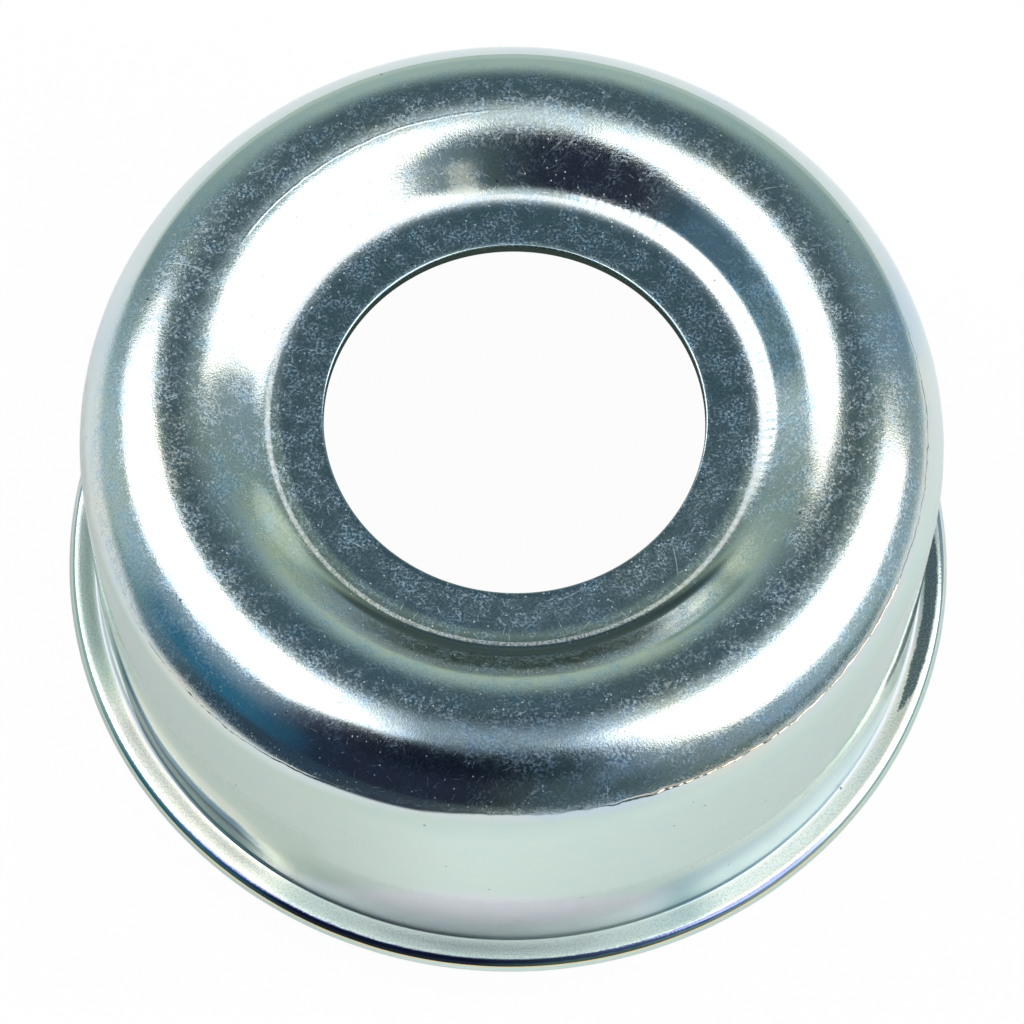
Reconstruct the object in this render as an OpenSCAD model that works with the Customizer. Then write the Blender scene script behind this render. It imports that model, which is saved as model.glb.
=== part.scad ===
// Hub grease cap, pressed and folded from one disc of zinc-plated sheet steel.
// It stands on its open end: z = 0 is the end of the push-fit skirt and +Z is the axis of the cap.
// The section is drawn once, as a chain of bends, and turned about the axis.

/* [Sheet] */
// Thickness of the steel sheet
sheet_t = 0.9; // [0.6:0.05:1.2]

/* [Push-fit skirt] */
// Outer diameter of the skirt that is driven into the hub
skirt_d = 62; // [50:0.1:78]
// Length of the skirt below the folded bead
skirt_length = 6; // [4:0.5:14]
// Rounding on the outer edge of the skirt's open end
skirt_lead = 0.3; // [0.1:0.05:0.5]

/* [Folded bead] */
// How far the bead stands out beyond the skirt
bead_reach = 2.3; // [2:0.1:4]
// Outside radius of the bend where the side wall turns out into the bead
bead_top_bend = 0.25; // [0.15:0.05:0.9]
// Outside radius of the bend where the bead turns down into the skirt
bead_under_bend = 0.25; // [0.1:0.05:0.35]

/* [Side wall] */
// Height of the cap from the underside of the bead to the crown of the rim
cap_height = 28.6; // [18:0.1:45]
// How far the foot of the side wall stands out beyond the skirt
wall_step = 0.1; // [0:0.05:0.3]
// Draft angle of the side wall
wall_draft = 0.4; // [0:0.1:3]

/* [Recessed dish] */
// Width of the flat ledge on the dish floor, round the hole
floor_ledge = 3.2; // [1:0.1:5]
// Depth of the dish floor below the crown of the rim
dish_depth = 3.3; // [2.4:0.1:5.4]
// Slope of the dish flank, measured from level
dish_slope = 37; // [25:1:46]
// Outside radius of the bend between the flank and the dish floor
dish_bend = 3.3; // [1:0.1:5]

/* [Plug hole] */
// Diameter of the hole punched through the dish floor for the rubber plug
hole_d = 27.2; // [20:0.1:36]
// Rounding that the punch leaves on the upper edge of the hole
hole_edge = 0.15; // [0.05:0.05:0.3]

/* [Smoothness] */
// Facets along a quarter turn of each bend
bend_facets = 14; // [6:1:20]

/* [Hidden] */
turn_facets = 256;          // facets round the axis in a preview
zinc = [0.74, 0.77, 0.79];  // colour of the plating

skirt_r = skirt_d / 2;
wall_foot_r = skirt_r + wall_step;
bead_r = skirt_r + bead_reach;
hole_r = hole_d / 2;
floor_r = hole_r + floor_ledge;

// Heights above the open end
bead_under_z = skirt_length;
fold_z = bead_under_z + sheet_t;
bead_top_z = fold_z + sheet_t;
crown_z = bead_under_z + cap_height;
floor_z = crown_z - dish_depth;

// An edge rounding takes at most half of the sheet
hole_round = min(hole_edge, sheet_t / 2);
lead_round = min(skirt_lead, sheet_t / 2);

// Outer face of the side wall at height z
function wall_r(z) = wall_foot_r - (z - bead_top_z) * tan(wall_draft);

// The rounded rim fills what lies between the wall and the dish, and it is tangent to the
// wall, the crown's height and the flank, which sets its outside radius
half_slope = dish_slope / 2;
rim_room = wall_r(crown_z) - floor_r - dish_bend * tan(half_slope) - dish_depth / tan(dish_slope);
rim_radius = rim_room / (1 / cos(wall_draft) - tan(wall_draft) + tan(half_slope));

// Centres of the bends
dish_c = [floor_r, floor_z + dish_bend];
rim_c = [wall_r(crown_z - rim_radius) - rim_radius / cos(wall_draft), crown_z - rim_radius];
top_bend_z = bead_top_z + bead_top_bend;
top_bend_c = [wall_r(top_bend_z) + bead_top_bend / cos(wall_draft), top_bend_z];
fold_c = [bead_r - sheet_t, fold_z];
under_bend_c = [skirt_r + bead_under_bend, bead_under_z - bead_under_bend];
hole_edge_c = [hole_r + hole_round, floor_z - hole_round];
lead_c = [skirt_r - lead_round, lead_round];

// Points on an arc about a centre, from one angle to another
function arc(centre, radius, from, to) =
    let (steps = max(2, ceil(abs(to - from) / 90 * bend_facets)))
    [for (i = [0 : steps]) let (a = from + (to - from) * i / steps) centre + radius * [cos(a), sin(a)]];

// Outer face of the sheet, from the hole over the rim and round the fold to the open end.
// The rim's arc is split at its crown, so that a point lies at the full height.
outer_face = concat(
    arc(hole_edge_c, hole_round, 180, 90),
    arc(dish_c, dish_bend, -90, dish_slope - 90),
    arc(rim_c, rim_radius, dish_slope + 90, 90),
    arc(rim_c, rim_radius, 90, wall_draft),
    arc(top_bend_c, bead_top_bend, 180 + wall_draft, 270),
    arc(fold_c, sheet_t, 90, -90),
    arc(under_bend_c, bead_under_bend, 90, 180),
    arc(lead_c, lead_round, 0, -90)
);

// Inner face, one sheet away, from the open end back to the hole; the fold is pressed shut
inner_face = concat(
    [[skirt_r - sheet_t, 0]],
    arc(under_bend_c, bead_under_bend + sheet_t, 180, 90),
    arc(top_bend_c, bead_top_bend + sheet_t, 270, 180 + wall_draft),
    arc(rim_c, rim_radius - sheet_t, wall_draft, 90),
    arc(rim_c, rim_radius - sheet_t, 90, dish_slope + 90),
    arc(dish_c, dish_bend + sheet_t, dish_slope - 90, -90),
    [[hole_r, floor_z - sheet_t]]
);

module grease_cap() {
    color(zinc)
        rotate_extrude($fn = turn_facets)
            polygon(concat(outer_face, inner_face));
}

grease_cap();
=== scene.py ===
import math

import bpy
import numpy as np
from mathutils import Matrix, Vector


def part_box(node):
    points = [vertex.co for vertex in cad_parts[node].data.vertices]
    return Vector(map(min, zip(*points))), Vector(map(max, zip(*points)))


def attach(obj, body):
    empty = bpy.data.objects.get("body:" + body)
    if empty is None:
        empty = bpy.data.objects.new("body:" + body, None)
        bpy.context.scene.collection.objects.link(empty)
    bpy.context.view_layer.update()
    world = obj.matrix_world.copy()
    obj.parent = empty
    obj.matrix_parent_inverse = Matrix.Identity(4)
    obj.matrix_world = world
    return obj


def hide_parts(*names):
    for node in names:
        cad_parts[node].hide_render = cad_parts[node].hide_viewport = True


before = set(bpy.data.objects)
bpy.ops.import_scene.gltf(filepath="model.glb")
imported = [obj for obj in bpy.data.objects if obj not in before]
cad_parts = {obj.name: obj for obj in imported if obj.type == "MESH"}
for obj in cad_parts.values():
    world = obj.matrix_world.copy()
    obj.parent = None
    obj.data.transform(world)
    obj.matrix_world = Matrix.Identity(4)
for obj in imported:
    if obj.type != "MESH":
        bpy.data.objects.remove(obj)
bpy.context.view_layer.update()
capNode = "grease_cap"
mm = 0.001  # the scene is in metres, and the sizes of the cap are in millimetres
print("stage 1: frame loaded")


# A wire holds one output socket of a shader tree. Adding, taking away, multiplying or dividing
# wires and numbers adds the Math node that does it.
class Wire:
    def __init__(self, tree, socket=None):
        self.tree = tree
        self.socket = socket

    # Any other node: its type, its settings, the values or wires of its input sockets, and the
    # number or name of the output that is wanted
    def node(self, kind, settings=None, sockets=None, output=0):
        made = self.tree.nodes.new("ShaderNode" + kind)
        for name, value in (settings or {}).items():
            if name == "stops":
                self.setStops(made.color_ramp, value)
            else:
                setattr(made, name, value)
        for name, value in (sockets or {}).items():
            if isinstance(value, Wire):
                self.tree.links.new(value.socket, made.inputs[name])
            else:
                made.inputs[name].default_value = value
        return Wire(self.tree, made.outputs[output])

    def setStops(self, ramp, stops):
        while len(ramp.elements) < len(stops):
            ramp.elements.new(1.0)
        for element, (place, colour) in zip(ramp.elements, stops):
            element.position = place
            element.color = opaque(colour)

    # Another output of the same node, by its number or name, and one part of a vector or colour
    def sister(self, output):
        return Wire(self.tree, self.socket.node.outputs[output])

    def part(self, index):
        return self.node("SeparateXYZ", None, {0: self}, index)

    def math(self, operation, *others):
        sockets = dict(enumerate((self, *others)))
        return self.node("Math", {"operation": operation}, sockets)

    def __add__(self, other): return self.math("ADD", other)
    def __radd__(self, other): return self.math("ADD", other)
    def __sub__(self, other): return self.math("SUBTRACT", other)
    def __rsub__(self, other): return self.math("MULTIPLY_ADD", -1.0, other)
    def __mul__(self, other): return self.math("MULTIPLY", other)
    def __rmul__(self, other): return self.math("MULTIPLY", other)
    def __truediv__(self, other): return self.math("DIVIDE", other)


# 0 below start, 1 above stop, with a soft step between them
def ease(value, start, stop):
    sockets = {"Value": value, "From Min": start, "From Max": stop}
    return value.node("MapRange", {"interpolation_type": "SMOOTHSTEP"}, sockets)


# 1 within reach of the centre, 0 beyond reach plus edge
def band(value, centre, reach, edge):
    return 1 - ease((value - centre).math("ABSOLUTE"), reach, reach + edge)


def blendValue(factor, first, second):
    return first + (second - first) * factor


def opaque(colour):
    return (*colour, 1.0)


# The first colour where the factor is 0, the second one where it is 1. The numbers are the
# places of the factor, the two colours and the result among the Mix node's sockets.
def mixColour(factor, first, second, blend="MIX"):
    settings = {"data_type": "RGBA", "blend_type": blend}
    second = second if isinstance(second, Wire) else opaque(second)
    return factor.node("Mix", settings, {0: factor, 6: first, 7: second}, 2)


def vectorMath(wire, operation, *others, output=0):
    sockets = dict(enumerate((wire, *others)))
    return wire.node("VectorMath", {"operation": operation}, sockets, output)


# A screen colour of 0 to 255 as the linear colour that the shader takes
def screenColour(red, green, blue):
    return tuple(((c / 255 + 0.055) / 1.055) ** 2.4 for c in (red, green, blue))


# Unit vector of a compass direction: azimuth counterclockwise from +X, elevation above the floor
def heading(azimuth, elevation=0.0):
    a, e = math.radians(azimuth), math.radians(elevation)
    return (math.cos(a) * math.cos(e), math.sin(a) * math.cos(e), math.sin(e))


def newMaterial(name):
    material = bpy.data.materials.new(name)
    material.use_nodes = True
    material.node_tree.nodes.clear()
    return material, Wire(material.node_tree)


def finishMaterial(graph, surface):
    out = graph.tree.nodes.new("ShaderNodeOutputMaterial")
    graph.tree.links.new(surface.socket, out.inputs["Surface"])


def newPiece(name, mesh, material):
    mesh.materials.append(material)
    piece = bpy.data.objects.new(name, mesh)
    bpy.context.scene.collection.objects.link(piece)
    return piece


# A mesh from a grid of points (rows, columns, 3): four neighbours make a face
def gridMesh(name, points, closeRows=False, closeColumns=False):
    rows, columns = points.shape[:2]
    index = np.arange(rows * columns).reshape(rows, columns)
    if closeRows:
        index = np.concatenate([index, index[:1]])
    if closeColumns:
        index = np.concatenate([index, index[:, :1]], axis=1)
    corners = [index[:-1, :-1], index[1:, :-1], index[1:, 1:], index[:-1, 1:]]
    faces = np.stack(corners, axis=-1).reshape(-1, 4)
    mesh = bpy.data.meshes.new(name)
    mesh.from_pydata(points.reshape(-1, 3), [], faces)
    mesh.shade_smooth()
    return mesh


# Values for each point of a mesh, kept under a name that its material reads
def keepValues(mesh, name, values):
    layer = mesh.attributes.new(name, "FLOAT_VECTOR", "POINT")
    layer.data.foreach_set("vector", values.astype(np.float32).ravel())


capSection = {           # the sheet's section, in millimetres and degrees
    "sheet": 0.9,        # thickness of the sheet
    "skirtRadius": 31.0,
    "skirtLength": 6.0,
    "lead": 0.3,         # rounding of the open end
    "beadReach": 2.3,    # bead beyond the skirt
    "topBend": 0.25,
    "underBend": 0.25,
    "wallStep": 0.1,
    "draft": 0.4,
    "holeRadius": 13.6,
    "holeEdge": 0.15,
    "ledge": 3.2,        # flat floor of the dish round the hole
    "dishDepth": 3.3,
    "dishSlope": 37.0,
    "dishBend": 3.3,
    "turnSteps": 620,    # steps round the axis
    "dishShift": 0.15,   # the pressed dish lies this far off the axis, towards +X
    "shiftEnds": 7.0,    # arc length past the crown over which the shift fades out
    "waveLength": 4.0,   # slight unevenness of the outer face
    "waveHeight": 0.012,
}


# Points on an arc: centre plus radius times the cosine and sine of evenly spaced angles
def arc(centre, radius, start, stop, steps):
    angles = np.radians(np.linspace(start, stop, steps + 1))
    return np.array(centre) + radius * np.stack([np.cos(angles), np.sin(angles)], axis=1)


# The closed section of the sheet as (radius, height) points: outer face from the hole to the open
# end, then the inner face back. Marks give the arc lengths at which each bend starts and stops.
def sheetSection(size, crown):
    sheet, draft, slope = size["sheet"], size["draft"], size["dishSlope"]
    skirt = size["skirtRadius"]
    footRadius = skirt + size["wallStep"]
    beadTop = size["skirtLength"] + 2 * sheet
    floor = crown - size["dishDepth"]
    ledgeEnd = size["holeRadius"] + size["ledge"]
    lean = math.tan(math.radians(draft))
    upright = math.cos(math.radians(draft))
    halfSlope = math.tan(math.radians(slope / 2))
    crownWall = footRadius - (crown - beadTop) * lean
    # The rim is tangent to the wall, the crown's height and the flank, which sets its radius
    room = crownWall - ledgeEnd - size["dishBend"] * halfSlope
    room -= size["dishDepth"] / math.tan(math.radians(slope))
    rim = room / (1 / upright - lean + halfSlope)
    rimCentre = (footRadius - (crown - rim - beadTop) * lean - rim / upright, crown - rim)
    dishCentre = (ledgeEnd, floor + size["dishBend"])
    bendHeight = beadTop + size["topBend"]
    bendCentre = (footRadius - size["topBend"] * lean + size["topBend"] / upright, bendHeight)
    foldCentre = (skirt + size["beadReach"] - sheet, size["skirtLength"] + sheet)
    underCentre = (skirt + size["underBend"], size["skirtLength"] - size["underBend"])
    holeCentre = (size["holeRadius"] + size["holeEdge"], floor - size["holeEdge"])
    leadCentre = (skirt - size["lead"], size["lead"])
    # Each run's name, its points, and how many points fill the straight part after it
    runs = [
        ("holeEdge", arc(holeCentre, size["holeEdge"], 180, 90, 3), 7),
        ("dishBend", arc(dishCentre, size["dishBend"], -90, slope - 90, 12), 4),
        ("rim", arc(rimCentre, rim, slope + 90, draft, 38), 18),
        ("topBend", arc(bendCentre, size["topBend"], 180 + draft, 270, 7), 1),
        ("fold", arc(foldCentre, sheet, 90, -90, 14), 1),
        ("underBend", arc(underCentre, size["underBend"], 90, 180, 4), 2),
        ("lead", arc(leadCentre, size["lead"], 0, -90, 3), 0),
        ("openEnd", np.array([[skirt - sheet, 0.0]]), 2),
        ("underInside", arc(underCentre, size["underBend"] + sheet, 180, 90, 3), 0),
        ("topInside", arc(bendCentre, size["topBend"] + sheet, 270, 180 + draft, 3), 3),
        ("rimInside", arc(rimCentre, rim - sheet, draft, slope + 90, 14), 1),
        ("dishInside", arc(dishCentre, size["dishBend"] + sheet, slope - 90, -90, 4), 1),
        ("holeInside", np.array([[size["holeRadius"], floor - sheet]]), 1),
    ]
    points, marks, count = [], {}, 0
    for (name, run, fill), (_, following, _) in zip(runs, runs[1:] + runs[:1]):
        steps = np.linspace(0, 1, fill + 2)[1:-1, None]
        between = run[-1] + (following[0] - run[-1]) * steps
        marks[name] = (count, count + len(run) - 1)
        points += [run, between]
        count += len(run) + len(between)
    points = np.concatenate(points)
    lengths = np.linalg.norm(np.diff(points, axis=0), axis=1)
    travel = np.concatenate([[0.0], np.cumsum(lengths)])
    marks = {name: (travel[first], travel[last]) for name, (first, last) in marks.items()}
    marks["crown"] = marks["rim"][0] + rim * math.radians(slope)
    return points, travel, marks


# The cap's skin: the section turned about the axis, point = (radius cos a, radius sin a, height).
# The dish is moved towards +X by its shift, which fades out down the rim on both faces.
def capSkin(size, marks, points, travel, turn):
    radius, height = points[:, 0], points[:, 1]
    outer = travel <= marks["lead"][1]
    fromHole = np.where(outer, travel, travel[-1] - travel)
    past = np.clip((fromHole - marks["crown"]) / size["shiftEnds"], 0, 1)
    shift = size["dishShift"] * (1 - past * past * (3 - 2 * past))
    x, y = radius * np.cos(turn) + shift, radius * np.sin(turn)
    skin = np.stack([x, y, height + 0 * turn], axis=-1)
    slope = np.roll(points, -1, axis=0) - np.roll(points, 1, axis=0)
    slope /= np.linalg.norm(slope, axis=1)[:, None]
    x, y = -slope[:, 1] * np.cos(turn), -slope[:, 1] * np.sin(turn)
    outward = np.stack([x, y, slope[:, 0] + 0 * turn], axis=-1)
    swell = waves(skin, size["waveLength"], 5) * size["waveHeight"]
    swell = swell * outer * (travel > marks["holeEdge"][1])
    return skin + outward * swell[..., None]


# Smooth unevenness from -1 to 1: the mean of eight sine waves in random directions
def waves(place, length, seed):
    dice = np.random.default_rng(seed)
    total = np.zeros(place.shape[:-1])
    for _ in range(8):
        way = dice.normal(size=3)
        way *= 2 * np.pi / length / np.linalg.norm(way) * dice.uniform(0.6, 1.5)
        total += np.sin(place @ way + dice.uniform(0, 2 * np.pi))
    return total / 8


# 0 below start, 1 above stop, with a soft step between them, for arrays
def step(value, start, stop):
    share = np.clip((value - start) / (stop - start), 0, 1)
    return share * share * (3 - 2 * share)


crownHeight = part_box(capNode)[1].z / mm
points, travel, marks = sheetSection(capSection, crownHeight)
turn = np.linspace(0, 2 * np.pi, capSection["turnSteps"], endpoint=False)[:, None]
skin = capSkin(capSection, marks, points, travel, turn)
print("stage 2: section of", len(points), "points, turned in", len(turn), "steps")


zincTintsAndPaintedLight = {                      # lengths in millimetres
    "clear": (0.70, 0.76, 0.75),   # the bare plating
    "blue": (0.60, 0.70, 0.78),    # tints of the passivation
    "gold": (0.77, 0.76, 0.66),
    # olive and leaf tint the wall towards the camera's left and right
    "olive": (0.55, 0.65, 0.57),
    "leaf": (0.64, 0.76, 0.69),
    # From here on the colours are painted light: lilac, pearl, cyan, sage and bead grey are painted
    # reflections, white, glow, pistachio and cream are painted highlights, and the rest painted
    # shade
    "lilacReflection": (0.74, 0.74, 0.78),
    "pearlReflection": (0.96, 0.97, 1.0),
    "cyan": (0.44, 0.60, 0.66),
    "sage": (0.78, 0.88, 0.78),
    "flank": (0.40, 0.47, 0.42),
    "gap": (0.20, 0.29, 0.32),
    "deep": (0.11, 0.13, 0.13),
    "pistachio": (0.92, 0.98, 0.82),
    "ledge": (0.50, 0.60, 0.63),
    "crown": (0.24, 0.31, 0.36),
    "dish": (0.22, 0.27, 0.28),
    "white": (0.95, 0.96, 0.95),
    "glow": (0.90, 0.88, 0.66),
    "beadGrey": (0.51, 0.59, 0.56),
    "cream": (0.90, 0.87, 0.78),
    "beadShade": (0.22, 0.30, 0.31),
    "tintLength": 16.0,
    "grainEnds": 4.4,              # arc length from the crown to where the ironed wall starts
    "grainLean": 2.0,              # how much that place moves towards the front
    "dullFoot": 10.6,              # height of the dull triangle at the foot of the wall
}


# The slow changes over the sheet are kept on the mesh: its place on the unrolled sheet, its tint
# with the painted light, its added roughness, the shares of the grain and the marks, and the place
# in the painted dark streak. Azimuths are degrees counterclockwise from +X, with the camera's side
# at 270. Lengths are arc lengths from the hole's edge, in millimetres.
def capAttributes(tints, size, marks, skin, travel, turn):
    whole = 0 * turn + 0 * travel
    along = travel + whole
    azimuth = np.degrees(turn)
    unrolled = size["holeRadius"] + travel
    ledgeStart, wallStart = marks["holeEdge"][1], marks["rim"][1]
    bend, rim, crown, fold = marks["dishBend"][0], marks["rim"][0], marks["crown"], marks["fold"][0]
    foot, beadStart = marks["topBend"]

    # 1 between two arc lengths, 0 beyond them and their soft edges
    def across(start, stop, edge):
        return step(along, start - edge, start) * (1 - step(along, stop, stop + edge))

    # 1 within the inner angle of an azimuth, 0 beyond the outer one
    def facing(degrees, inner, outer):
        away = np.abs((azimuth - degrees + 180) % 360 - 180)
        return 1 - step(away, inner, outer)

    # The pressed grain ends where the border passes 0, and the ironed wall starts there
    border = along - crown - tints["grainEnds"] + tints["grainLean"] * np.sin(turn)
    border = border - 2.3 * facing(205, 10, 62) - 1.1 * facing(345, 10, 60)
    border = border - 0.5 * facing(275, 30, 60)
    front = facing(262, 60, 95) + whole
    wall = step(border, 0.3, 1.5)
    bead = across(beadStart, fold + 0.25, 0.15)

    # Low on the wall: a painted lilac reflection in a triangle, pearly at its foot, and dull places
    upShare = np.clip((foot - along) / tints["dullFoot"], 0, 1)
    halfWidth = 40 * (1 - upShare)
    lilacReflection = 1 - step(np.abs(azimuth - 277 + 11 * upShare), halfWidth - 5, halfWidth + 4)
    lilacReflection = lilacReflection * (1 - step(upShare, 0.7, 0.95)) * (along > rim)
    lilacReflection = lilacReflection * (1 - step(along, foot, foot + 0.2))
    dullFoot = across(foot - 7.0, beadStart, 2.0) * facing(293, 50, 58)
    dullSide = across(foot - 11.0, foot - 5.0, 2.0) * facing(222, 20, 28)
    dullFoot = np.maximum(dullFoot, dullSide)
    dullFoot = dullFoot * (1 - step(along, beadStart - 0.1, beadStart + 0.1))

    # In the dish, painted light: shade in a dark ellipse at the front, and highlights in a pale
    # spot on the left, a glint at the back and a bright ring round the floor
    fromOval = ((azimuth - 275) / 49) ** 2 + ((along - bend - 2.1) / 1.5) ** 2
    paintedShadeOval = (1 - step(fromOval, 0.7, 1.25)) * (1 - 0.8 * step(along, bend + 2.0, bend + 2.6))
    fromPatch = ((azimuth - 212) / 14) ** 2 + ((along - bend - 2.4) / 1.5) ** 2
    highlightPatch = 1 - step(fromPatch, 0.1, 1.2)
    glint = 0.4 * facing(103, 0.5, 5.5) * across(bend + 1.7, bend + 3.1, 1.1)
    dishFront = facing(265, 72, 100)
    dishHighlightRing = across(bend + 0.62, bend + 0.88, 0.12) * (1 - 0.65 * facing(262, 36, 55))

    # The painted reflection of a dark streak low on the left of the wall, as millimetres above its
    # lower line, and its share
    streakAt = foot - along - 2.7 - 0.02 * np.clip(219 - azimuth, 0, None) ** 2
    streakAt = streakAt + 0.2 * np.clip(azimuth - 232, 0, None)
    streakShare = facing(219, 12, 21) * across(foot - 15.0, foot, 0.2)

    # The bead's dark band, painted shade: 1 along its middle, 0 at its edges
    beadShadeReach = 0.56 * facing(352, 6, 22) + 0.01
    beadShadeAt = 1 - np.abs(along - beadStart - 0.72) / beadShadeReach
    beadShadeAt = beadShadeAt * across(beadStart, fold + 0.6, 0.1)

    blueShare = step(waves(skin, tints["tintLength"], 11), 0.05, 0.5) * 0.8
    goldShare = step(waves(skin, tints["tintLength"] * 0.8, 12), 0.05, 0.5) * 0.7
    colour = np.array(tints["clear"]) + np.zeros(skin.shape)
    # Each tint is laid over the ones before it: the dish, the rim, the wall, then the bead. All
    # but blue, gold, olive and leaf are painted reflections, highlights and shade.
    for share, name in (
        (blueShare, "blue"),
        (goldShare, "gold"),
        (across(ledgeStart, bend, 0.3) * (1 - 0.6 * facing(315, 15, 60)), "ledge"),
        (across(bend + 0.15, bend + 0.8, 0.25) * facing(100, 100, 130), "white"),
        (across(bend + 0.1, bend + 1.0, 0.3) * dishFront, "sage"),
        (dishHighlightRing, "white"),
        (across(crown + 0.6, crown + 3.6, 1.5) * facing(268, 9, 26), "crown"),
        (facing(268, 45, 85) * across(bend + 1.0, rim, 1.0) * 0.8, "glow"),
        (highlightPatch, "pistachio"),
        (across(bend + 1.9, rim + 0.3, 0.6) * facing(311, 8, 14), "flank"),
        (paintedShadeOval, "dish"),
        (paintedShadeOval * across(bend + 1.4, bend + 1.8, 0.25), "deep"),
        (glint, "glow"),
        (across(bend + 2.2, rim, 0.3) * facing(270, 34, 50), "white"),
        (across(bend + 2.05, rim - 0.1, 0.25) * facing(34, 20, 32), "gap"),
        (wall * facing(240, 50, 75), "olive"),
        (wall * facing(305, 35, 60), "leaf"),
        (lilacReflection, "lilacReflection"),
        (lilacReflection * (1 - step(upShare, 0.05, 0.55)), "pearlReflection"),
        (facing(314, 17, 25) * across(foot - 5.0, foot, 2.0), "cyan"),
        (bead * facing(272, 34, 48), "beadGrey"),
        (bead * facing(222, 14, 22), "cream"),
        (bead * facing(325, 22, 30), "cream"),
        (bead * facing(187, 8, 14) * 0.4, "beadShade"),
    ):
        colour += (np.array(tints[name]) - colour) * (share + whole)[..., None]

    # The grain is weaker in the front and the back of the dish and over the front of the rim
    grain = 1 - 0.8 * facing(275, 50, 80) * across(bend, rim + 0.5, 1.0)
    grain = grain * (1 - 0.6 * facing(75, 30, 50) * across(bend, rim, 0.5))
    grain = grain * (1 - 0.8 * facing(250, 10, 24) * step(along, crown + 1.0, crown + 2.5))
    # A warm grey spot where the wall starts on the camera's left
    warmGreySpot = facing(186, 9, 20) * across(wallStart - 2.0, wallStart + 3.0, 1.0)
    ticks = facing(32, 36, 60) * across(bend + 1.1, bend + 1.7, 0.12)
    ticks = np.maximum(ticks, 0.25 * dishFront * across(bend + 0.6, bend + 0.95, 0.15))
    lip = 0.2 * facing(225, 14, 26) + 1.6 * facing(312, 17, 30) + 0.3 * facing(350, 10, 30)
    rough = bead * 0.30 + dullFoot * 0.24 + dishHighlightRing * 0.12 + highlightPatch * 0.34 + glint * 0.5
    rough = rough + across(bend + 0.1, bend + 0.9, 0.3) * dishFront * 0.10
    rough = rough + across(bend + 3.9, rim - 0.1, 0.5) * facing(270, 38, 55) * 0.10
    groove = facing(122, 22, 32) + whole
    foldFront = facing(272, 38, 60) + whole
    return {
        "sheetPlace": np.stack([unrolled * np.cos(turn), unrolled * np.sin(turn), along], axis=-1),
        "sheetTint": colour,
        "sheetZones": np.stack([border, front, grain], axis=-1),
        "sheetMarks": np.stack([lip + whole, ticks, warmGreySpot], axis=-1),
        "sheetRough": np.stack([rough, groove, foldFront], axis=-1),
        "sheetStreak": np.stack([streakAt, streakShare + whole, beadShadeAt], axis=-1),
    }


zincLook = {                       # lengths in millimetres
    "topRoughness": 0.12,
    "dullRoughness": 0.21,         # added where the plating is dull
    "scratchRoughness": 0.26,
    "speckRoughness": 0.55,
    "wallRoughness": 0.07,
    "coarseLength": 1.1,
    "grainLength": 0.15, "grainHeight": 0.0085,
    "dullLength": 0.21,
    "speckLength": 0.32,
    "hueLength": 1.5,
    "mottle": (0.58, 0.65, 0.70),  # fine dark spots of the grain
    "hueBlue": (0.86, 0.96, 1.06), "hueGreen": (1.05, 1.04, 0.95),
    "lipHeight": 0.045,            # small ridge that the die left where the wall starts
    # The ridge's brown line is painted shade beside it
    "lipColour": (0.62, 0.50, 0.34),
    "grooveHeight": 0.008,         # fine groove beside the crown
    "tickCount": 170,              # press marks round the dish floor
    "tickColour": (0.32, 0.36, 0.38),
    # Painted reflections: navy and gold lines round the bead's fold
    "foldNavyReflection": (0.12, 0.14, 0.40), "foldGoldReflection": (0.95, 0.68, 0.32),
    # Painted reflection of a dark streak low on the wall's left, with painted light round it
    "streak": (0.02, 0.07, 0.12),  # dark streak low on the wall's left, and what lies round it
    "streakBlue": (0.09, 0.25, 0.36), "streakFoot": (0.14, 0.24, 0.21),
    "streakGlow": (0.88, 0.88, 0.78),
    # The shine is painted highlights, partly matt
    "shine": (0.88, 0.91, 0.95),   # bright lines in the wall's foot bend and round the dish floor
    # The bead's dark band is painted shade
    "beadShade": (0.14, 0.20, 0.21),    # dark band on the bead's right
    "beadMottle": (0.62, 0.68, 0.66),
    # warm grey of the spot where the wall starts on the left
    "warmGreySpot": (0.54, 0.51, 0.46),
    "pit": (0.05, 0.06, 0.07),
}


# Scratches in one layer: each Voronoi cell of the sheet turns its own line by a random angle. Cell,
# length and width are in millimetres, the share is that of the cells with a line, and the offset
# tells the layers' patterns apart.
def scratchLayer(place, cell, length, width, share, offset):
    scale, moved = (1 / cell, 1 / cell, 0.0), (offset, offset * 0.7, 0.0)
    spread = vectorMath(place, "MULTIPLY_ADD", scale, moved)
    settings = {"voronoi_dimensions": "2D"}
    cells = spread.node("TexVoronoi", settings, {"Vector": spread, "Scale": 1.0})
    centre, chance = cells.sister("Position"), cells.sister("Color")
    angle = chance.part(0) * (2 * math.pi)
    local = vectorMath(spread, "SUBTRACT", centre)
    settings = {"rotation_type": "Z_AXIS"}
    turned = local.node("VectorRotate", settings, {"Vector": local, "Angle": angle})
    x, y = turned.part(0), turned.part(1)
    line = 1 - ease((y + x * x * 0.2).math("ABSOLUTE"), 0.0, width / cell)
    ends = 1 - ease(x.math("ABSOLUTE"), 0.2 * length / cell, 0.5 * length / cell)
    return line * ends * chance.part(1).math("LESS_THAN", share) * chance.part(2)


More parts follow.
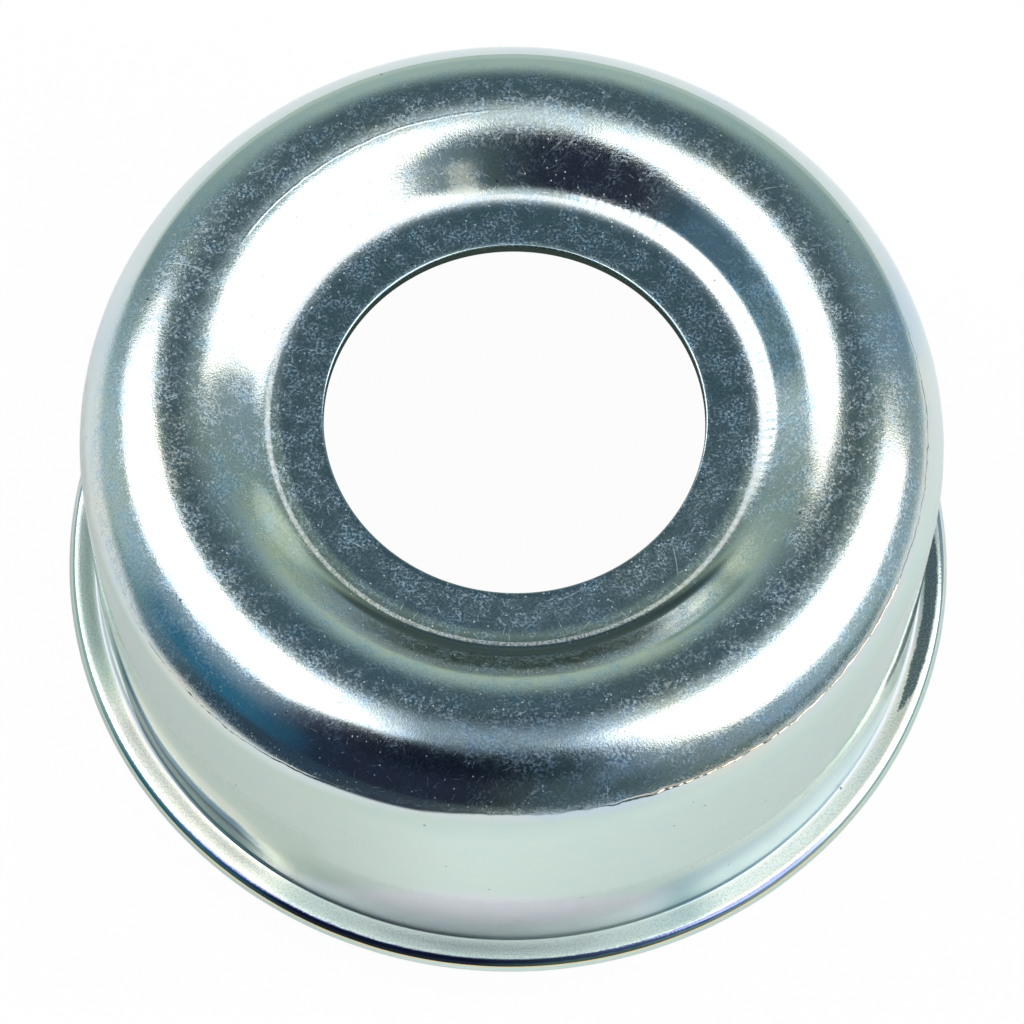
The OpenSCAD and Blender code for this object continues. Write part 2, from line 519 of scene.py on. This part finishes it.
def zincPlate(look, marks):
    material, graph = newMaterial("zinc_plate")
    where = graph.node("TexCoord", None, None, "Object")

    def attribute(name):
        return graph.node("Attribute", {"attribute_name": name}, None, "Vector")

    def noise(length, detail, roughness=0.5):
        return graph.node("TexNoise", None, {
            "Vector": where, "Scale": 1 / (length * mm), "Detail": detail, "Roughness": roughness})

    place, tint = attribute("sheetPlace"), attribute("sheetTint")
    border, front, grainShare = (attribute("sheetZones").part(i) for i in range(3))
    lipShare, tickShare, warmGreySpotShare = (attribute("sheetMarks").part(i) for i in range(3))
    addedRough, grooveShare, foldShare = (attribute("sheetRough").part(i) for i in range(3))
    streakAt, streakShare, beadShadeAt = (attribute("sheetStreak").part(i) for i in range(3))
    along = place.part(2)
    coarse = noise(look["coarseLength"], 2.0)
    grain = noise(look["grainLength"], 2.0, 0.6)
    hue = noise(look["hueLength"], 3.0, 0.6)
    footBend, beadStart = marks["topBend"]
    foldStart, foldEnd = marks["fold"]

    # Where the grain of the pressed top gives way to the ironed wall
    edge = border + (coarse - 0.5) * 0.9
    top = blendValue(front, 1 - ease(edge, -1.6, 1.6), 1 - ease(edge, -0.2, 0.2))
    lipAt = border + (coarse - 0.5) * 0.6
    lip = (1 - ease((lipAt - 0.05).math("ABSOLUTE"), 0.0, 0.15)) * lipShare
    grooveAt = along - (marks["crown"] - 1.4) + (coarse - 0.5) * 0.25
    groove = (1 - ease(grooveAt.math("ABSOLUTE"), 0.02, 0.12)) * grooveShare
    beadTop = ease(along, beadStart, beadStart + 0.2)
    beadTop = beadTop * (1 - ease(along, foldStart + 0.3, foldStart + 0.6))
    height = grain * look["grainHeight"] * (top * grainShare * 0.95 + beadTop * 1.2 + 0.06)
    height = height + lip * look["lipHeight"] - groove * look["grooveHeight"]
    bump = graph.node("Bump", None, {"Height": height, "Distance": mm, "Strength": 1.0})

    # Short and long scratches, dull places and specks
    scratch = scratchLayer(place, 0.9, 0.8, 0.04, 0.8, 3.1)
    scratch = scratch.math("MAXIMUM", scratchLayer(place, 4.0, 3.0, 0.06, 0.3, 5.3))
    dull = ease(noise(look["dullLength"], 2.0, 0.7), 0.36, 0.70) * (0.35 + ease(hue, 0.36, 0.62))
    specks = graph.node("TexVoronoi", None, {
        "Vector": where, "Scale": 1 / (look["speckLength"] * mm)})
    chance = specks.sister("Color")
    speck = (1 - ease(specks, 0.10, 0.26)) * chance.part(0).math("LESS_THAN", 0.14)
    pit = (1 - ease(specks, 0.20, 0.40)) * chance.part(1).math("LESS_THAN", 0.002)
    dullRough = dull * look["dullRoughness"] * (0.3 + grainShare * 0.7)
    marksRough = scratch * look["scratchRoughness"]
    marksRough = marksRough.math("MAXIMUM", speck * look["speckRoughness"])
    roughness = look["topRoughness"] - look["wallRoughness"] + dullRough + marksRough
    roughness = look["wallRoughness"] + top * roughness + addedRough * (0.7 + grain * 0.6)

    # The tint with its painted light, and its slow and fine changes
    blueShare = ease(hue, 0.48, 0.68) * (0.2 + top * 0.8)
    greenShare = (1 - ease(hue, 0.30, 0.50)) * (0.2 + top * 0.6)
    mottle = (1 - ease(grain, 0.36, 0.56)) * top * grainShare * 0.55
    colour = mixColour(blueShare, tint, look["hueBlue"], "MULTIPLY")
    colour = mixColour(greenShare, colour, look["hueGreen"], "MULTIPLY")
    colour = mixColour(mottle, colour, look["mottle"], "MULTIPLY")

    # Painted reflections: navy and gold lines round the fold, by the angle that the sheet has
    # turned in it
    foldTurn = (along + (coarse - 0.5) * 0.16 - foldStart) * (180 / (foldEnd - foldStart))
    colour = mixColour(band(foldTurn, 29, 8, 5) * foldShare * 0.8, colour, look["foldNavyReflection"])
    colour = mixColour(band(foldTurn, 56, 3, 4) * foldShare * 0.8, colour, look["foldGoldReflection"])
    # A brown line along the ridge: painted shade beside the ridge, which itself is in the bump
    lipLine = band(lipAt, 0.05, 0.05, 0.15) * lipShare.math("MINIMUM", 1.0)
    colour = mixColour(lipLine * 0.7, colour, look["lipColour"])

    # The painted reflection of the streak low on the wall and the painted highlights of the bright
    # lines. They are partly matt, not metal.
    fine = (streakAt * 9.0 + coarse * 2.0).math("SINE") * 0.15
    streakShare = streakShare * ease(streakAt, -4.7, -3.5)
    for share, name in (
        (ease(streakAt, 5.4, 3.8) * 0.5, "streakGlow"),
        (ease(streakAt, 2.6, 1.2), "streakBlue"),
        (ease(streakAt, 0.1, -0.5) * (0.8 + fine), "streakFoot"),
        (band(streakAt, 0.0, 0.22, 0.5), "streak"),
    ):
        colour = mixColour(share * streakShare, colour, look[name])
    matt = ease(streakAt, 2.6, 1.2) * (0.75 + fine) * streakShare
    # The ring and the shine are painted highlights
    ring = band(along, marks["dishBend"][0] + 0.76, 0.10, 0.12)
    ring = ring * (0.15 + ease(grain, 0.35, 0.6) * 0.4)
    shine = band(along, (footBend + beadStart) / 2 + 0.03, 0.12, 0.08) * (1 - foldShare)
    colour = mixColour(ring, colour, look["shine"])
    colour = mixColour(shine, colour, look["shine"])
    metallic = 1 - matt.math("MAXIMUM", shine * 0.8).math("MAXIMUM", ring)

    # The bead's dark band of painted shade and its mottling, the press marks, a warm grey spot and
    # the pits
    beadShade = ease(beadShadeAt + (coarse - 0.5) * 0.5 + (grain - 0.5) * 0.5, 0.05, 0.3)
    beadShade = beadShade * ease(beadShadeAt, 0.0, 0.05) * (0.5 + grain * 0.9).math("MINIMUM", 0.97)
    around = place.part(1).math("ARCTAN2", place.part(0))
    ticks = ease((around * look["tickCount"]).math("SINE"), 0.1, 0.8) * tickShare
    beadSpots = beadTop * ease(grain, 0.45, 0.6)
    warmGreySpotLayer = ease(hue, 0.38, 0.62) * (0.5 + grain * 0.6) * warmGreySpotShare
    colour = mixColour(beadShade, colour, look["beadShade"])
    colour = mixColour(ticks * 0.6, colour, look["tickColour"], "MULTIPLY")
    colour = mixColour(beadSpots * 0.6, colour, look["beadMottle"], "MULTIPLY")
    colour = mixColour(warmGreySpotLayer * 0.85, colour, look["warmGreySpot"])
    colour = mixColour(pit * 0.8, colour, look["pit"])

    surface = graph.node("BsdfPrincipled", None, {
        "Base Color": colour, "Metallic": metallic, "Roughness": roughness,
        "Specular IOR Level": 0.0, "Normal": bump})
    finishMaterial(graph, surface)
    return material


capMesh = gridMesh("capSkin", skin * mm, closeRows=True, closeColumns=True)
for name, values in capAttributes(zincTintsAndPaintedLight, capSection, marks, skin, travel, turn).items():
    keepValues(capMesh, name, values)
capMesh.set_sharp_from_angle(angle=math.radians(40))
cap = newPiece("pressed_cap", capMesh, zincPlate(zincLook, marks))
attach(cap, "root")
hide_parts(capNode)
print("stage 3: cap made")


white = (1.0, 1.0, 1.0)
studio = {
    "tentRadius": 1.5,        # metres
    "tentLight": 1.3,         # strength of the tent and of the sheets on the floor
    "lampDistance": 1.2,
    "lampStrength": 2.5,
    "floorColour": (0.92, 0.92, 0.92),
    "cameraShare": 0.97,      # share of plain white in the floor that the camera sees
    "glossShare": 0.15,       # the same share in reflections
    "ringHeight": 0.0004,     # metres above the floor
    "worldLight": 0.4,        # strength of the world where it isn't seen
    "shadeRadius": 0.0296,    # dark disc inside the skirt, metres
    "shadeHeight": 0.0002,
    "shadeColour": (60, 72, 66),
}

lampCorners = {               # azimuth and elevation of each corner, in degrees
    "leftLamp": [(149, 25), (131, 43), (137, 78), (243, 71), (214, 49), (176, 33)],
    "rightLamp": [(34, 48), (18, 19), (-20, 21), (-41, 30), (-51, 45), (-72, 80)],
}

# Grey sheets lie on the floor round the cap: by azimuth, the distance in metres at which they
# start and their screen colour
floorStops = [
    (0, 0.24, (134, 154, 156)), (30, 0.28, (154, 172, 170)), (60, 0.21, (168, 184, 176)),
    (90, 0.17, (168, 184, 176)), (120, 0.22, (168, 184, 176)), (140, 0.40, (190, 204, 198)),
    (165, 0.36, (166, 182, 178)), (185, 0.16, (110, 140, 148)), (198, 0.085, (84, 114, 128)),
    (212, 0.085, (46, 66, 82)), (236, 0.085, (42, 58, 72)), (256, 0.11, (52, 60, 70)),
    (275, 0.21, (84, 98, 98)), (300, 0.15, (90, 106, 108)), (345, 0.16, (92, 112, 118)),
]


def emissionMaterial(name, colour, strength):
    material, graph = newMaterial(name)
    light = graph.node("Emission", None, {"Color": opaque(colour), "Strength": strength})
    finishMaterial(graph, light)
    return material


# A flat lamp panel: each corner's direction, carried out to a plane square to the mean direction
def lampPanel(name, corners, distance, strength):
    directions = np.array([heading(*corner) for corner in corners])
    middle = directions.mean(axis=0)
    middle /= np.linalg.norm(middle)
    outline = directions / (directions @ middle)[:, None] * distance
    mesh = bpy.data.meshes.new(name)
    mesh.from_pydata(outline, [], [tuple(range(len(outline)))])
    return newPiece(name, mesh, emissionMaterial(name, white, strength))


# The tent's colour goes round the horizon by one ramp, round its middle height by another, and
# turns pale near the top on the camera's side. Ramp places: 0 is azimuth -180, 0.25 the camera's
# side, 0.5 is +X and 0.75 the far side.
def tentMaterial(strength):
    material, graph = newMaterial("studioTent")
    navy, teal = screenColour(32, 38, 54), screenColour(44, 98, 126)
    slate, steel = screenColour(70, 86, 88), screenColour(128, 150, 168)
    mist, sage = screenColour(158, 178, 184), screenColour(154, 172, 166)
    shade, night = screenColour(112, 134, 140), screenColour(64, 84, 94)
    where = graph.node("TexCoord", None, None, "Object")
    direction = vectorMath(where, "NORMALIZE")
    x, y, z = (direction.part(i) for i in range(3))
    around = y.math("ARCTAN2", x) / (2 * math.pi) + 0.5
    low = around.node("ValToRGB", {"stops": [
        (0.0, mist), (0.04, teal), (0.1, teal), (0.15, navy), (0.24, navy), (0.28, slate),
        (0.32, slate), (0.4, steel), (0.46, mist), (0.54, steel), (0.62, shade), (0.7, sage),
        (0.8, sage), (0.88, shade), (0.94, mist), (1.0, mist)]}, {0: around})
    middle = around.node("ValToRGB", {"stops": [
        (0.0, steel), (0.08, steel), (0.13, navy), (0.24, navy), (0.29, slate), (0.36, steel),
        (0.5, steel), (0.62, shade), (0.7, night), (0.8, night), (0.88, shade),
        (1.0, steel)]}, {0: around})
    pale = ease(z, 0.88, 0.97) * ease(y, 0.40, -0.05) * (0.45 + 0.55 * ease(y, -0.35, -0.05))
    colour = mixColour(ease(z, 0.25, 0.65), low, middle)
    colour = mixColour(pale, colour, screenColour(196, 208, 212))
    finishMaterial(graph, graph.node("Emission", None, {"Color": colour, "Strength": strength}))
    material.cycles.emission_sampling = "NONE"
    return material


# Half a sphere: point = radius times the unit vector of azimuth and elevation
def tentMesh(radius):
    azimuth = np.linspace(0, 2 * np.pi, 96, endpoint=False)[:, None]
    elevation = np.linspace(0, np.pi / 2, 25)
    level, high = np.cos(elevation), np.sin(elevation) + 0 * azimuth
    points = np.stack([level * np.cos(azimuth), level * np.sin(azimuth), high], axis=-1)
    return gridMesh("studioTent", points * radius, closeRows=True)


# Whether a ray comes from the camera, from a reflection or through a clear surface
def rayKinds(graph):
    rays = graph.node("LightPath")
    return (rays.sister(name) for name in ("Is Camera Ray", "Is Glossy Ray", "Is Transmission Ray"))


# A matt floor that is nearly white to the camera, and clear when it is seen from below
def floorMaterial(look):
    material, graph = newMaterial("studioFloor")
    camera, gloss, through = rayKinds(graph)
    share = gloss.math("MAXIMUM", through) * look["glossShare"]
    share = (camera * look["cameraShare"]).math("MAXIMUM", share)
    matt = graph.node("BsdfDiffuse", None, {"Color": opaque(look["floorColour"])})
    plain = graph.node("Emission", None, {"Color": opaque(white), "Strength": 1.0})
    seen = graph.node("MixShader", None, {0: share, 1: matt, 2: plain})
    clear = graph.node("BsdfTransparent")
    behind = graph.node("NewGeometry", None, None, "Backfacing")
    finishMaterial(graph, graph.node("MixShader", None, {0: behind, 1: seen, 2: clear}))
    return material


def flatSheet(name, corners, material):
    mesh = bpy.data.meshes.new(name)
    mesh.from_pydata(corners, [], [(0, 1, 2, 3)])
    return newPiece(name, mesh, material)


# One ring for all sheets on the floor: point = distance times the unit vector of the azimuth. The
# stops give each point its colour, and its share of the ring fades in round the starting distance.
# They are repeated one turn before and after, so that the colours meet at 0 and 360 degrees.
def floorRing(stops, reach, look):
    degrees = [stop[0] + lap for lap in (-360, 0, 360) for stop in stops]
    azimuth = np.linspace(0, 360, 180, endpoint=False)
    start = np.interp(azimuth, degrees, [stop[1] for stop in stops] * 3)[:, None]
    colours = np.array([screenColour(*stop[2]) for stop in stops] * 3)
    tint = np.stack([np.interp(azimuth, degrees, colours[:, i]) for i in range(3)], axis=-1)
    distance = np.geomspace(0.05, reach, 60)
    turn = np.radians(azimuth)[:, None]
    level = look["ringHeight"] + 0 * distance * turn
    points = np.stack([distance * np.cos(turn), distance * np.sin(turn), level], axis=-1)
    mesh = gridMesh("floorRing", points[:, ::-1], closeRows=True)
    share = step(distance, start * 0.94, start * 1.08)[:, ::-1]
    spread = np.stack([share] * 3, axis=-1)
    values = {"ringTint": tint[:, None, :] + 0 * spread, "ringShare": spread}
    for name, value in values.items():
        keepValues(mesh, name, value)
    material, graph = newMaterial("floorRing")
    tinted = graph.node("Attribute", {"attribute_name": "ringTint"}, None, "Vector")
    share = graph.node("Attribute", {"attribute_name": "ringShare"}, None, "Fac")
    light = graph.node("Emission", None, {"Color": tinted, "Strength": look["tentLight"]})
    clear = graph.node("BsdfTransparent")
    finishMaterial(graph, graph.node("MixShader", None, {0: share, 1: clear, 2: light}))
    material.cycles.emission_sampling = "NONE"
    return newPiece("floorRing", mesh, material)


# A disc inside the skirt, which darkens what the inner face mirrors of the floor
def innerShade(look):
    angle = np.linspace(0, 2 * np.pi, 64, endpoint=False)
    radius, height = look["shadeRadius"], look["shadeHeight"]
    ring = np.stack([radius * np.cos(angle), radius * np.sin(angle), height + 0 * angle], axis=1)
    mesh = bpy.data.meshes.new("innerShade")
    mesh.from_pydata(ring, [], [tuple(range(len(ring)))])
    colour = screenColour(*look["shadeColour"])
    return newPiece("innerShade", mesh, emissionMaterial("innerShade", colour, 1.0))


# The world is white to the camera, in reflections and through clear surfaces, and a weaker light
# for all other rays
def studioWorld(strength):
    world = bpy.data.worlds.new("studioWorld")
    bpy.context.scene.world = world
    world.use_nodes = True
    world.node_tree.nodes.clear()
    sky = Wire(world.node_tree)
    camera, gloss, through = rayKinds(sky)
    seen = camera.math("MAXIMUM", gloss).math("MAXIMUM", through)
    strength = strength + seen * (1 - strength)
    background = sky.node("Background", None, {"Color": opaque(white), "Strength": strength})
    out = world.node_tree.nodes.new("ShaderNodeOutputWorld")
    world.node_tree.links.new(background.socket, out.inputs["Surface"])


reach = studio["tentRadius"]
floorCorners = [(-reach, -reach, 0), (reach, -reach, 0), (reach, reach, 0), (-reach, reach, 0)]
floor = flatSheet("studioFloor", floorCorners, floorMaterial(studio))
cards = [floorRing(floorStops, reach, studio), innerShade(studio)]
tent = newPiece("studioTent", tentMesh(reach), tentMaterial(studio["tentLight"]))
panels = [lampPanel(name, corners, studio["lampDistance"], studio["lampStrength"])
          for name, corners in lampCorners.items()]
for unseen in [tent, *cards, *panels]:
    unseen.visible_camera = False
studioWorld(studio["worldLight"])
print("stage 4: studio made")


cameraView = {
    "aim": (0.167, 0.0, 14.53),   # millimetres
    "distance": 342.19,
    "azimuth": 270.07,            # degrees, counterclockwise from +X
    "elevation": 66.04,
    "roll": 1.76,
    "lens": 161.58,
}


# The camera stands back from its aim along one heading, and rolls about its own axis
def photoCamera(view):
    camera = bpy.data.objects.new("photoCamera", bpy.data.cameras.new("photoCamera"))
    bpy.context.scene.collection.objects.link(camera)
    back = Vector(heading(view["azimuth"], view["elevation"]))
    place = (Vector(view["aim"]) + back * view["distance"]) * mm
    roll = Matrix.Rotation(math.radians(view["roll"]), 3, "Z").to_quaternion()
    turned = (-back).to_track_quat("-Z", "Y") @ roll
    camera.matrix_world = Matrix.LocRotScale(place, turned, None)
    camera.data.lens = view["lens"]
    camera.data.sensor_width = 36.0
    camera.data.clip_start = 0.01
    camera.data.clip_end = 10.0
    return camera


bpy.context.scene.camera = photoCamera(cameraView)
bpy.context.scene.view_settings.view_transform = "Standard"

print("stage 5: camera set")
